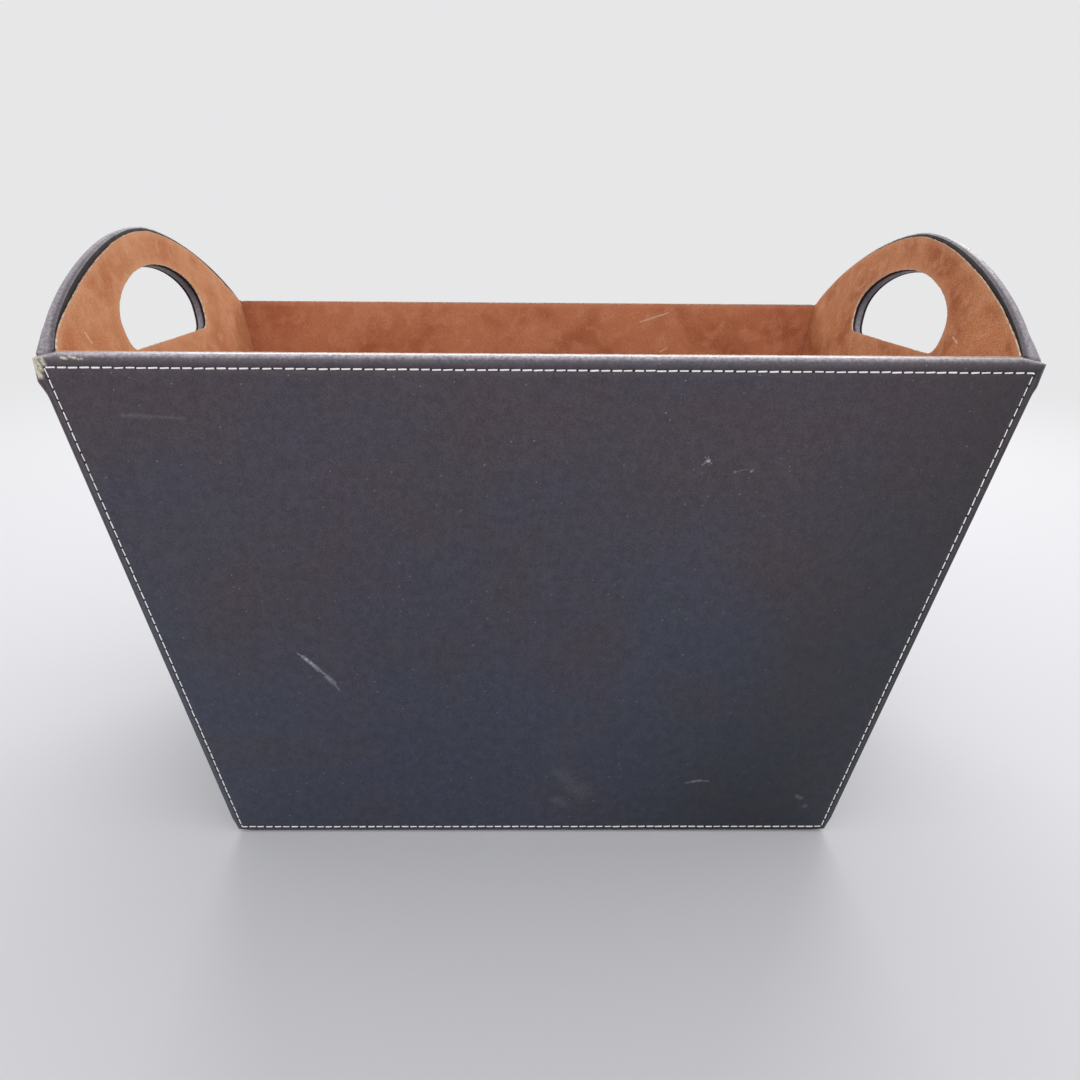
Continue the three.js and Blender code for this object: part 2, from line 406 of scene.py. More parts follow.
# Lays some of a grid's vertices where their shares and insets say, at a depth
def layOut(piece, wall, side, low, picked, depth, bare=None):
    names = ("across", "up", "sideInset", "crownInset", "footInset")
    across, up, sideInset, crownInset, footInset = (fetch(piece, name)[picked] for name in names)
    x, y = placeOn(wall, side, low, across, up, sideInset, crownInset, footInset)
    if bare:
        for _ in range(3):
            x, y = placeOn(wall, side, low, across, up, sideInset, crownInset + bare(x), footInset)
    points = places(piece)
    points[picked] = np.column_stack([x, y, np.zeros(len(x)) - depth])
    setPlaces(piece, points)


# The vertices on the rim of a new gap, in their order round it
def rimInOrder(piece, middle, reach):
    mesh = piece.data
    ends = np.zeros(len(mesh.edges) * 2, int)
    mesh.edges.foreach_get("vertices", ends)
    ends = ends.reshape(-1, 2)
    used = np.zeros(len(mesh.loops), int)
    mesh.loops.foreach_get("edge_index", used)
    free = np.bincount(used, minlength=len(ends)) == 1
    near = (np.abs(places(piece)[ends[:, 0], :2] - middle) < reach).all(axis=1)
    beside = {}
    for a, b in ends[free & near]:
        beside.setdefault(a, []).append(b)
        beside.setdefault(b, []).append(a)
    order, last = [next(iter(beside))], None
    while True:
        following = next(v for v in beside[order[-1]] if v != last)
        if following == order[0]:
            return np.array(order)
        last = order[-1]
        order.append(following)


# Sets vertices on the hole's outline, moved out by an offset, at a depth
def setRound(piece, arch, picked, offset, depth, overhang=0, ragged=0):
    outline, outward = (closedUp(table) for table in holeOutline(arch))
    way = wayAlong(outline)
    at = fetch(piece, "round")[picked] % 1 * way[-1]
    outward = valuesAt(at, way, outward)
    out = offset + ragged * fray(at) - overhang * np.clip(-outward[:, 1], 0, 1)
    points = places(piece)
    points[picked, :2] = valuesAt(at, way, outline) + out[:, None] * outward
    points[picked, 2] = -depth
    setPlaces(piece, points)


# Cuts the hand hole: the rim is set on the outline moved out by the first offset, the grid
# round it is evened out, and the edge is then drawn in to the other offsets
def cutHole(piece, arch, profile, overhang=0, ragged=0):
    outline = holeOutline(arch)[0]
    firstOffset, firstDepth = profile[0]
    rim = holeEdge(arch, firstOffset, overhang)
    centres = np.array([face.center[:2] for face in piece.data.polygons])
    choose(piece, faces=insideOf(rim, centres))
    edit(piece, "FACE")
    bpy.ops.mesh.delete(type="FACE")
    done()

    middle = outline.mean(axis=0)
    order = rimInOrder(piece, middle, outline.max(axis=0) - middle + hole["evened"])
    closed = closedUp(outline) - middle
    way = wayAlong(closed)
    bearing = np.unwrap(np.arctan2(closed[:, 1], closed[:, 0]))
    points = places(piece)
    spokes = points[order, :2] - middle
    angle = np.arctan2(spokes[:, 1], spokes[:, 0])
    angle = (angle - bearing[0]) % (2 * math.pi) + bearing[0]
    at = np.interp(angle, bearing, way) / way[-1]
    if np.median(np.roll(at, -1) - at) < 0:
        order, at = order[::-1], at[::-1]
    first = at.argmin()
    order, at = np.roll(order, -first), np.roll(at, -first)
    for _ in range(12):
        before = np.append(at[-1] - 1, at[:-1])
        after = np.append(at[1:], at[0] + 1)
        at = (before + 2 * at + after) / 4
    roundShare = np.zeros(len(points))
    roundShare[order] = at
    store(piece, "round", roundShare)
    picked = np.zeros(len(points), bool)
    picked[order] = True
    setRound(piece, arch, picked, firstOffset, firstDepth, overhang)

    across, up = np.abs(fetch(piece, "across")), fetch(piece, "up")
    inner = (up < 1) & (up > 0) & (across < 1)
    choose(piece, inner & ~picked & (distanceFrom(rim, points[:, :2]) < hole["evened"]))
    edit(piece)
    bpy.ops.mesh.vertices_smooth(factor=0.5, repeat=30)
    done()
    choose(piece, picked)
    for offset, depth in profile[1:]:
        setRound(piece, arch, drawOut(piece), offset, depth, overhang, ragged)


def smoothStep(value, low, high):
    t = np.clip((value - low) / (high - low), 0, 1)
    return t * t * (3 - 2 * t)


# Materials. A node is made with its settings, and each of its inputs is given either a value
# or the output of another node.
def addNode(tree, kind, inputs=(), output=0, **settings):
    node = tree.nodes.new("ShaderNode" + kind)
    for name, value in settings.items():
        setattr(node, name, value)
    for name, value in dict(inputs).items():
        if isinstance(value, bpy.types.NodeSocket):
            tree.links.new(value, node.inputs[name])
        else:
            node.inputs[name].default_value = value
    return node.outputs[output]


def newMaterial(name):
    material = bpy.data.materials.new(name)
    material.use_nodes = True
    material.node_tree.nodes.clear()
    return material, material.node_tree


def addFinish(piece, material):
    piece.data.materials.append(material)


def paint(red, green, blue):  # a colour as a screen shows it, from 0 to 255
    shares = (channel / 255 for channel in (red, green, blue))
    return (*(((share + 0.055) / 1.055) ** 2.4 for share in shares), 1)


def onObject(tree, stretch=None):
    where = addNode(tree, "TexCoord", output="Object")
    return addNode(tree, "Mapping", {"Vector": where, "Scale": stretch}) if stretch else where


# Noise with features of a size in millimetres
def grain(tree, size, detail=2, stretch=None, twist=0):
    return addNode(tree, "TexNoise", {
        "Vector": onObject(tree, stretch), "Scale": 1 / (size * millimetre), "Detail": detail,
        "Distortion": twist})


def ramp(tree, value, low, high, toLow=0, toHigh=1):
    return addNode(tree, "MapRange", {
        "Value": value, "From Min": low, "From Max": high, "To Min": toLow, "To Max": toHigh},
        interpolation_type="SMOOTHSTEP")


def calculate(tree, kind, first, second):
    return addNode(tree, "Math", {0: first, 1: second}, operation=kind)


def mix(tree, share, first, second, blend="MIX"):
    return addNode(tree, "Mix", {0: share, 6: first, 7: second}, output=2,
                   data_type="RGBA", blend_type=blend)


def shaded(tree, colour, pattern, dark, light, low=0.3, high=0.7):  # a colour times a pattern
    return mix(tree, 1, colour, ramp(tree, pattern, low, high, dark, light), "MULTIPLY")


def layer(tree, name):
    return addNode(tree, "Attribute", output="Fac", attribute_name=name)


def relief(tree, height, strength, depth):
    return addNode(tree, "Bump", {
        "Height": height, "Strength": strength, "Distance": depth * millimetre})


def endWith(tree, shader, kind="Material"):
    end = tree.nodes.new("ShaderNodeOutput" + kind)
    tree.links.new(shader, end.inputs["Surface"])


def surface(tree, inputs):
    endWith(tree, addNode(tree, "BsdfPrincipled", inputs))


# A mark along the line between two places, in the basket's millimetres
def stroke(tree, start, end, width):
    first, last = (Vector(place) * millimetre for place in (start, end))
    along = last - first
    here = addNode(tree, "VectorMath", {0: onObject(tree), 1: first}, operation="SUBTRACT")
    share = addNode(tree, "VectorMath", {0: here, 1: along / along.length_squared},
                    output="Value", operation="DOT_PRODUCT")
    share = addNode(tree, "Clamp", {"Value": share})
    near = addNode(tree, "VectorMath", {0: along, "Scale": share}, operation="SCALE")
    gap = addNode(tree, "VectorMath", {0: here, 1: near}, output="Value", operation="DISTANCE")
    return ramp(tree, gap, 0, width * millimetre, 1, 0)


# All the marks of one kind, broken up by noise
def marksOn(tree, marks, size):
    broken = ramp(tree, grain(tree, size, 4), 0.3, 0.62, 0.42, 1.2)
    total = 0
    for start, end, width, strength in marks:
        mark = calculate(tree, "MULTIPLY", stroke(tree, start, end, width), strength)
        total = calculate(tree, "MAXIMUM", mark, total)
    return calculate(tree, "MULTIPLY", total, broken)


# Marks along lines of places, with how wide and how strong each stretch of a line is
def marksAlong(lines, place=lambda *spot: spot):
    marks = []
    for line, stretches in lines:
        spots = [place(*spot) for spot in line]
        marks += [(a, b, *stretch) for a, b, stretch in zip(spots, spots[1:], stretches)]
    return marks


def onFront(x, z):  # a place across the front and up from the floor
    return x, -basket["baseDepth"] / 2 - z * math.tan(frontLean), z


# Wear on the front
frontMarks = {
    "scuffs": marksAlong([
        # the scratch, drawn out at both ends
        ([(-117.5, 118.3), (-114.8, 116), (-110.8, 111.8), (-107.8, 108.3), (-104.6, 105.3)],
         [(0.45, 0.6), (1.5, 0.85), (1.8, 0.6), (0.9, 0.5)]),
        ([(-104.2, 104.4), (-101.1, 100.5), (-98.9, 96.2)], [(2.1, 0.42), (0.9, 0.3)]),
        # the star and the two dots beside it
        ([(70.8, 216.9), (73.6, 218.8)], [(0.35, 0.6)]),
        ([(71.7, 220.6), (75.1, 217.4)], [(0.3, 0.7)]),
        ([(73.1, 221.1), (73.9, 216.7)], [(0.3, 0.5)]),
        ([(71.5, 218.5), (75.1, 219.2)], [(0.3, 0.6)]),
        ([(73.3, 218.7), (73.5, 218.8)], [(1.1, 2)]),
        ([(85.6, 213.6), (85.9, 213.8)], [(0.8, 0.5)]),
        ([(86.6, 213.7), (89.1, 214.8), (91.7, 214.9)], [(0.4, 0.25), (0.4, 0.2)]),
        ([(92.9, 214), (93.3, 214.4)], [(1, 0.5)]),
        # faint scuffs near the foot and at the left
        ([(82, 35.4), (85.2, 36.4), (89.4, 37.1), (93.8, 36.8)],
         [(0.8, 0.3), (1.2, 0.38), (0.8, 0.26)]),
        ([(13.9, 43.1), (20.6, 33.3), (26.8, 29.1)], [(7, 0.06), (8, 0.07)]),
        ([(12.3, 23.4), (16.8, 20.6)], [(5, 0.07)]),
        ([(143.5, 26.2), (145.9, 24.8)], [(2, 0.18)]),
        ([(148.9, 18.8), (149.3, 19.2)], [(2, 0.15)]),
        ([(-177.8, 238.2), (-166.1, 237.6), (-151.5, 236.8)], [(1.6, 0.12), (1, 0.1)]),
    ], onFront),
    "bare": marksAlong([
        # the corner, and flecks along the rim
        ([(-210.2, -128.2, 262), (-209.4, -128.8, 258), (-208, -129.2, 254.6)],
         [(2.4, 1.5), (1.9, 1.4)]),
        ([(-208.8, -129, 262.2), (-207, -129.4, 257.5)], [(2, 1.1)]),
        ([(-206.4, -129.4, 262.4), (-205.2, -129.6, 259.6)], [(1.5, 0.9)]),
        ([(-197.7, -129.6, 262.3), (-195.7, -129.7, 261.9)], [(0.9, 1)]),
        ([(-194.5, -129.4, 262.7), (-192, -129.7, 262.1)], [(0.8, 0.9)]),
        ([(-190.9, -129.7, 261.7), (-189.2, -129.7, 261.9)], [(0.7, 0.6)]),
        ([(195.5, -128.4, 263.6), (205.8, -127.6, 263.4)], [(0.4, 0.5)]),
    ]),
    # the tear at the left corner, whose opening is painted dark as shade
    "tornGapShade": marksAlong([
        ([(-210.4, -128.2, 264), (-208.8, -127.6, 263.4)], [(1.5, 1.4)]),
        ([(-197.1, -129.7, 260.9), (-194.3, -129.7, 260.8)], [(0.5, 0.6)]),
    ]),
}

leatherLook = {
    "low": paint(44, 49, 64),  # near the foot, bluer than the top: a painted reflection
    "high": paint(56, 46, 55),
    "turn": (0.06, 0.26),  # the heights between the two, in metres
    "drift": (75, 0.04),  # the size of a stretch, and how far the heights stray
    "clouds": [(62, paint(44, 48, 68), 0.36), (38, paint(56, 44, 50), 0.32)],  # size, colour, share
    "mottling": [  # size, detail, stretch, darkest and lightest
        (1.1, 3, (1, 1, 0.2), 0.95, 1.05), (0.7, 3, None, 0.69, 1.34), (4, 4, None, 0.85, 1.15)],
    "specks": [(4.6, 0.09, 0.5, 0.4), (9, 0.045, 0.5, 0.6)],  # cell, radius, how few, strength
    # the colour of rubbed edges, which is also a painted highlight along the crests
    "rubbedAndHighlit": paint(203, 195, 202),
    "rubAndHighlight": (1.3, 0.42, 0.9),  # size of its patches, least and most
    "rough": (6, 0.48, 0.6),
    "smoother": 0.15,  # where it is rubbed and painted with a highlight
    "rougher": {"scuffs": 0.2, "seam": 0.3},
    "paintedShade": (-0.02, 0.13, 0.43),  # painted shade: from where to where the front darkens to the right, and to what
    "scuff": paint(150, 150, 158),
    "bare": paint(204, 197, 178),
    # the painted shade of the tear's opening
    "tornGapShade": paint(14, 12, 14),
    # the darkening of the seam layer, a painted shade
    "furrow": paint(120, 112, 120),
    "pebble": 0.8,
    "fine": 0.7,
    "relief": (0.3, 0.12),  # strength and depth
}


# Small round specks, in some of the cells of a size in millimetres
def specks(tree, cell, radius, few):
    inputs = {"Vector": onObject(tree), "Scale": 1 / (cell * millimetre)}
    spot = ramp(tree, addNode(tree, "TexVoronoi", inputs), radius / 2, radius, 1, 0)
    kept = ramp(tree, addNode(tree, "TexVoronoi", inputs, output="Color"), few, few + 0.06)
    return calculate(tree, "MULTIPLY", spot, kept)


def leather(name, look=leatherLook, marks=None):
    material, tree = newMaterial(name)
    place = {"Vector": onObject(tree)}
    # Painted reflection: the colour turns from bluer near the foot to browner near the top
    height = addNode(tree, "SeparateXYZ", place, output="Z")
    size, stray = look["drift"]
    drift = ramp(tree, grain(tree, size, 3), 0.3, 0.7, -stray, stray)
    colour = mix(tree, ramp(tree, calculate(tree, "ADD", height, drift), *look["turn"]),
                 look["low"], look["high"])
    for size, hue, share in look["clouds"]:
        colour = mix(tree, ramp(tree, grain(tree, size, 3), 0.46, 0.7, 0, share), colour, hue)
    for size, detail, stretch, dark, light in look["mottling"]:
        colour = shaded(tree, colour, grain(tree, size, detail, stretch), dark, light)
    for cell, radius, few, strength in look["specks"]:
        speck = calculate(tree, "MULTIPLY", specks(tree, cell, radius, few), strength)
        colour = mix(tree, speck, colour, look["scuff"])

    # Edges are painted lighter: wear, and a painted highlight that is strongest on the crests
    edge = layer(tree, "edge")
    size, least, most = look["rubAndHighlight"]
    patches = ramp(tree, grain(tree, size, 4), 0.3, 0.68, least, most)
    rubAndHighlight = calculate(tree, "MULTIPLY", edge, patches)
    colour = mix(tree, rubAndHighlight, colour, look["rubbedAndHighlit"])
    size, least, most = look["rough"]
    rough = ramp(tree, grain(tree, size, 4), 0.3, 0.7, least, most)
    rough = calculate(tree, "SUBTRACT", rough, calculate(tree, "MULTIPLY", edge, look["smoother"]))
    if marks:
        # painted shade: the front darkens to the right and towards the foot
        across = addNode(tree, "SeparateXYZ", place, output="X")
        paintedShade = calculate(tree, "SUBTRACT", across, calculate(tree, "MULTIPLY", height, 0.5))
        start, end, dark = look["paintedShade"]
        colour = shaded(tree, colour, paintedShade, 1, dark, start, end)
        scuffs = marksOn(tree, marks["scuffs"], 1.2)
        colour = mix(tree, scuffs, colour, look["scuff"])
        colour = mix(tree, marksOn(tree, marks["bare"], 0.9), colour, look["bare"])
        colour = mix(tree, marksOn(tree, marks["tornGapShade"], 2), colour, look["tornGapShade"])
        more = calculate(tree, "MULTIPLY", scuffs, look["rougher"]["scuffs"])
        rough = calculate(tree, "ADD", rough, more)
    # Painted shade: darker in the stitch furrow, on the turned-in flap and beside the suede
    seam = ramp(tree, layer(tree, "seam"), 0.25, 0.95)
    colour = mix(tree, seam, colour, mix(tree, 1, colour, look["furrow"], "MULTIPLY"))
    more = calculate(tree, "MULTIPLY", seam, look["rougher"]["seam"])
    rough = calculate(tree, "ADD", rough, more)

    pebble = addNode(tree, "TexVoronoi", {
        "Vector": onObject(tree, (1, 1, 0.6)), "Scale": 1 / (look["pebble"] * millimetre),
        "Smoothness": 0.6}, feature="SMOOTH_F1")
    pebble = calculate(tree, "MULTIPLY", pebble, 0.5)
    bumps = calculate(tree, "ADD", pebble, grain(tree, look["fine"], 3))
    surface(tree, {
        "Base Color": colour, "Roughness": rough, "Specular IOR Level": 0.5,
        "Normal": relief(tree, bumps, *look["relief"])})
    return material


suedeLook = {
    "clouds": 34,
    "brushed": 9,
    "nap": 0.7,
    "raw": paint(226, 204, 168),
    "marks": {
        "left": [((-203.2, -96.4, 268.1), (-202.4, -93.5, 263.4), 0.9, 1)],
        "right": [((202.7, -66.4, 265.2), (202.3, -71.8, 263.1), 0.8, 0.9)],
        "back": [((79.1, 121.8, 251.7), (98.7, 122.3, 258.0), 0.8, 0.7),
                 ((94.5, 120.1, 231.1), (99.4, 120.3, 233.9), 0.8, 0.6)],
    },
}


def suede(name, deep, main, pale, side=None, contrast=0.16):
    material, tree = newMaterial(name)
    clouds = ramp(tree, grain(tree, suedeLook["clouds"], 3, twist=0.4), 0.3, 0.6)
    colour = mix(tree, clouds, deep, main)
    brushed = ramp(tree, grain(tree, suedeLook["brushed"], 3, twist=0.6), 0.44, 0.72, 0, 0.5)
    colour = mix(tree, brushed, colour, pale)
    nap = grain(tree, suedeLook["nap"], 3, twist=0.4)
    colour = shaded(tree, colour, nap, 1 - contrast, 1 + contrast, 0.28, 0.72)
    colour = mix(tree, calculate(tree, "MULTIPLY", specks(tree, 2.6, 0.16, 0.4), 0.3), colour,
                 suedeLook["raw"])
    if side:
        marks = marksOn(tree, suedeLook["marks"][side], 1)
        colour = mix(tree, marks, colour, suedeLook["raw"])
    colour = mix(tree, ramp(tree, layer(tree, "raw"), 0.5, 5, 0.4, 0), colour, pale)
    uneven = ramp(tree, grain(tree, 1.4, 3), 0.3, 0.7, -0.3, 0.45)
    raw = ramp(tree, calculate(tree, "ADD", layer(tree, "raw"), uneven), 0, 0.5, 1, 0)
    colour = mix(tree, calculate(tree, "MULTIPLY", raw, 0.7), colour, suedeLook["raw"])
    surface(tree, {
        "Base Color": colour, "Roughness": 0.95, "Specular IOR Level": 0.15,
        "Sheen Weight": 0.25, "Sheen Roughness": 0.5, "Sheen Tint": pale,
        "Normal": relief(tree, nap, 0.4, 0.2)})
    return material


def rawLeather(name, dyed, bare):
    material, tree = newMaterial(name)
    fibres = grain(tree, 0.5, 3)
    shade = mix(tree, ramp(tree, grain(tree, 2.2, 4), 0.42, 0.6), dyed, bare)
    shade = shaded(tree, shade, fibres, 0.76, 1.12)
    surface(tree, {"Base Color": shade, "Roughness": 0.95, "Specular IOR Level": 0.2,
                   "Normal": relief(tree, fibres, 0.4, 0.2)})
    return material


def twistedThread(name):
    material, tree = newMaterial(name)
    where = {"Vector": addNode(tree, "TexCoord", output="UV")}
    around, along = (addNode(tree, "SeparateXYZ", where, output=axis) for axis in ("X", "Y"))
    phase = calculate(tree, "ADD", calculate(tree, "MULTIPLY", around, 4 * math.pi),
                      calculate(tree, "MULTIPLY", along, 24 * math.pi))
    ply = calculate(tree, "SINE", phase, 0)
    # The thread is painted darker in the grooves between its plies, a painted shade
    shade = mix(tree, ramp(tree, ply, -1, 0.2), paint(228, 225, 222), paint(255, 253, 250))
    shade = shaded(tree, shade, grain(tree, 5), 0.92, 1, 0.35)
    surface(tree, {"Base Color": shade, "Roughness": 0.75, "Specular IOR Level": 0.3,
                   "Normal": relief(tree, ply, 0.4, 0.1)})
    return material


def fibre(name, dark, light, size, rough):
    material, tree = newMaterial(name)
    speckle = grain(tree, size, 4, twist=0.5)
    threads = grain(tree, size * 0.4, 2, (1, 0.15, 1))
    shade = mix(tree, ramp(tree, speckle, 0.3, 0.7), dark, light)
    shade = shaded(tree, shade, threads, 0.8, 1.15)
    surface(tree, {"Base Color": shade, "Roughness": rough, "Specular IOR Level": 0.2,
                   "Normal": relief(tree, threads, 0.5, 0.15)})
    return material


frontLeather = leather("frontLeather", marks=frontMarks)
plainLeather = leather("plainLeather")
# One suede in lit and shaded copies: the left end's is lightest, as painted light, and the back's,
# right end's and base's are darker, as painted shade
suedeLeft = suede(
    "suedeLeft", paint(190, 118, 78), paint(211, 149, 106), paint(224, 172, 134), "left")
suedeRight = suede(
    "suedeRight", paint(168, 98, 62), paint(200, 136, 94), paint(218, 164, 126), "right", 0.26)
suedeBack = suede(
    "suedeBack", paint(168, 102, 70), paint(190, 124, 90), paint(204, 144, 112), "back")
suedeBase = suede("suedeBase", paint(156, 90, 62), paint(180, 110, 80), paint(190, 124, 94))
rawEdge = rawLeather("rawEdge", paint(206, 158, 124), paint(232, 212, 184))
thread = twistedThread("thread")
fibreboard = fibre("fibreboard", paint(132, 108, 80), paint(172, 148, 116), 2.2, 0.85)
undersideCloth = fibre("undersideCloth", paint(34, 33, 36), paint(52, 50, 54), 1.6, 0.95)
print("materials made")

# The leather wraps: the face is laid out with close rows along the seam, then its border is
# drawn round the edge of the board and in over its back
cover = {
    "step": 3,
    "endStep": 2.4,
    "noseRadius": 2.6,  # along the free edge
    "sideRadius": 1.2,
    "squareRadius": 0.4,
    "innerRadius": 1.2,
    "edgeAngles": (22, 45, 67, 90),  # of the rings round an edge
    "grownBelow": (3, 12),  # the free edge, where a side's edge grows as round as that
    "widestEdge": 0.96,  # of the way from the side to the furrow
    "turnIn": 9,
    "sideMargin": 6,
    "crownMargin": 9,
    "faceRubAndHighlight": (-3.2, -1.4),  # the border of the face starts to be rubbed and painted with a highlight, outside the seam
    "waveLength": 45,
    "waveHeight": 0.16,
    "seamBelowRim": 5.6,
    "seamFromSide": 3.3,
    "seamAboveFoot": 2.6,
    "furrow": 0.35,
    "furrowReach": 1,
    "rubbedAndHighlit": {"arch": 1, "straight": 0.8},
    "wornAndHighlit": {"arch": (0.3, 0.5, 0.75, 0.7), "straight": (0.16, 0.75, 1.5, 1.5)},  # up to the crest: wear and a painted highlight
    "faceWornAndHighlit": {"arch": 0.3, "straight": 0.1},
    "sideWornAndHighlit": 0.3,  # of what the free edge is worn and highlighted
    "insideWornAndHighlit": 0.2,
    "fullSide": 0.5,
    "fullCorner": (2.3, 2.5),  # at the left and the right end of the rim
    "fullDown": (9, 4),  # below the rim, where they start to fade
    "fullEnd": (19, 16),
    "fullFoot": 0.5,
    "rimFold": (7.5, 7.5),
    "footFold": 4.5,
    "foldDepth": 0.29,  # how far the tip of a corner moves, for its fold
    "flare": {"front": 2.7, "back": 1.6},
    "flareReach": 15,
    "holeEdge": [(3, 0), (2, 0), (1.1, 0.02), (0.5, 0.09), (0.15, 0.22), (0, 0.45)],
}


def seamRows(first, seam, margin):
    reach = cover["furrowReach"]
    return [first, seam - reach, seam - reach / 2, seam, seam + reach / 2, seam + reach, margin]


# The wrap of a long wall is fuller at its sides and foot, and its corners are folded round. The
# ends of an arch bulge outwards.
def foldCorners(points, wall):
    near, spread = wall["side"]
    x, y = points[:, 0].copy(), points[:, 1].copy()
    fromSide = (near + spread * y - np.abs(x)) / math.sqrt(1 + spread ** 2)
    rim, foot = rimSlope(wall["lean"]), basket["foot"] / math.cos(wall["lean"])
    beside = np.clip(1 - fromSide / cover["seamFromSide"], 0, 1)
    left = x * math.cos(wall["turn"]) < 0
    corner, down, end, rimFold = (
        np.where(left, *cover[key]) for key in ("fullCorner", "fullDown", "fullEnd", "rimFold"))
    full = cover["fullSide"] + corner * (1 - smoothStep(rim - y, down, end))
    points[:, 0] += np.sign(x) * full * beside
    points[:, 1] -= cover["fullFoot"] * np.clip(1 - (y - foot) / cover["seamAboveFoot"], 0, 1)
    for reach, fromEnd, way in ((rimFold, rim - y, -1), (cover["footFold"], y - foot, 1)):
        share = (np.clip(1 - fromSide / reach, 0, 1) * np.clip(1 - fromEnd / reach, 0, 1)) ** 2
        move = cover["foldDepth"] * reach * share
        points[:, 0] -= np.sign(x) * move
        points[:, 1] += way * move


def flareArch(points, wall):
    near, spread = wall["side"]
    rim = rimSlope(wall["lean"])
    for side in (-1, 1):
        bulge = cover["flare"]["front" if side == wall["arch"]["front"] else "back"]
        away = np.hypot(points[:, 0] - side * (near + spread * rim), points[:, 1] - rim)
        outer = np.clip(1 + points[:, 2] / basket["panel"], 0, 1)
        points[:, 2] += bulge * outer * (1 - smoothStep(away, 1, cover["flareReach"]))


def makeCover(name, wall):
    side, low = wall["side"], basket["foot"]
    furrowReach, seamFromSide = cover["furrowReach"], cover["seamFromSide"]
    insets = {
        "side": seamRows(cover["sideRadius"], seamFromSide, cover["sideMargin"]),
        "crown": seamRows(cover["noseRadius"], cover["seamBelowRim"], cover["crownMargin"]),
        "foot": seamRows(cover["sideRadius"], cover["seamAboveFoot"], cover["sideMargin"]),
    }
    piece = cutGrid(name, wall, side, insets, cover["endStep" if "arch" in wall else "step"])

    # the edge of a side grows as round as the nose where the two meet
    across, up = np.abs(fetch(piece, "across")), fetch(piece, "up")
    belowCrown = cover["crownMargin"] + (1 - up) * basket["rimHeight"]
    belowCrown = np.where(up == 1, fetch(piece, "crownInset"), belowCrown)
    endRadius = cover["squareRadius" if "arch" in wall else "noseRadius"]
    grown = (endRadius - cover["sideRadius"]) * (1 - smoothStep(belowCrown, *cover["grownBelow"]))
    store(piece, "radius", np.where(up == 1, cover["noseRadius"], cover["sideRadius"] + grown))
    sideInset = fetch(piece, "sideInset")
    outermost = (across == 1) & (sideInset < seamFromSide - furrowReach)
    widest = cover["widestEdge"] * (seamFromSide - furrowReach)
    sideInset[outermost] = np.minimum(cover["sideRadius"] + grown, widest)[outermost]
    store(piece, "sideInset", sideInset)

    # the thread pulls a furrow
    away = np.minimum.reduce([
        np.where(across == 1, sideInset, cover["sideMargin"]) - seamFromSide,
        np.where(up == 1, fetch(piece, "crownInset"), cover["crownMargin"]) - cover["seamBelowRim"],
        np.where(up == 0, fetch(piece, "footInset"), cover["sideMargin"]) - cover["seamAboveFoot"]])
    # the seam layer also marks where the furrow is painted darker, as shade
    seam = 1 - smoothStep(np.abs(away), 0, furrowReach)
    store(piece, "seam", seam)
    kind = "arch" if "arch" in wall else "straight"
    rubAndHighlight = cover["rubbedAndHighlit"][kind]
    store(piece, "edge", (1 - smoothStep(away, *cover["faceRubAndHighlight"])) * cover["faceWornAndHighlit"][kind] * rubAndHighlight)
    layOut(piece, wall, side, low, across >= 0, cover["furrow"] * seam)
    if "arch" in wall:
        cutHole(piece, wall["arch"], cover["holeEdge"])
    ripple(piece, cover, len(name))

    # each ring round the edge: its inset and depth as shares of the radius, the same in
    # millimetres, and how much it is rubbed and painted with a highlight
    inner, panel = cover["innerRadius"], basket["panel"]
    quarter = np.radians(cover["edgeAngles"])
    wornAndHighlit = cover["wornAndHighlit"][kind]
    rings = [(1 - np.sin(a), 1 - np.cos(a), 0, 0, share) for a, share in zip(quarter, wornAndHighlit)]
    top = wornAndHighlit[-1]
    rings += [(0, 0.5, 0, (panel - inner) / 2, top), (0, 0, 0, panel - inner, top / 2)]
    rings += [(0, 0, inner * (1 - np.cos(a)), panel - inner * (1 - np.sin(a)), cover["insideWornAndHighlit"])
              for a in quarter]
    rings += [(0, 0, 2 * inner, panel, 0), (0, 0, cover["turnIn"], panel, 0)]
    choose(piece, fetch(piece, "border") == 1)
    # rings on the turned-in flap get seam 1, which paints them darker as shade beside the suede
    for insetShare, depthShare, inset, depth, rubbedAndHighlit in rings:
        picked = drawOut(piece)
        across, up, radius = (fetch(piece, key) for key in ("across", "up", "radius"))
        moved = insetShare * radius + inset
        for key, on, value in (
                ("sideInset", np.abs(across) == 1, moved), ("crownInset", up == 1, moved),
                ("footInset", up == 0, moved), ("seam", True, 1 if depth >= panel else 0),
                ("edge", True, rubAndHighlight * np.where(up == 1, rubbedAndHighlit, cover["sideWornAndHighlit"] * rubbedAndHighlit))):
            store(piece, key, np.where(picked & on, value, fetch(piece, key)))
        layOut(piece, wall, side, low, picked, (depthShare * radius + depth)[picked])
    points = places(piece)
    (flareArch if "arch" in wall else foldCorners)(points, wall)
    setPlaces(piece, points)
    thicken(piece, basket["leather"])
    smoothUnder(piece, softAngle)
    return piece


# The leather strip in a hand hole: from behind the wrap through the board, and out over the
# board's inner face under the lining
facing = {
    "around": 132,
    "rubbedAndHighlit": (0.2, 1.4),  # wear and a painted highlight: at the crown, and how much more at the foot
    "profile": [  # offset, depth, how rubbed and highlighted, and how dark: dark at the joint with the wrap, and painted shade beside the suede
        (0.9, 1.55, 0, 1), (0.45, 1.32, 0, 0.7), (0.12, 1.5, 0.3, 0), (0, 1.95, 0.55, 0),
        (0, 3.2, 0.55, 0), (0, 4.6, 0.4, 0.3), (0.12, 5.2, 0, 1), (0.45, 5.75, 0, 1),
        (1.2, 6.1, 0, 1), (3.5, 6.1, 0, 1), (6, 6.1, 0, 1)],
}


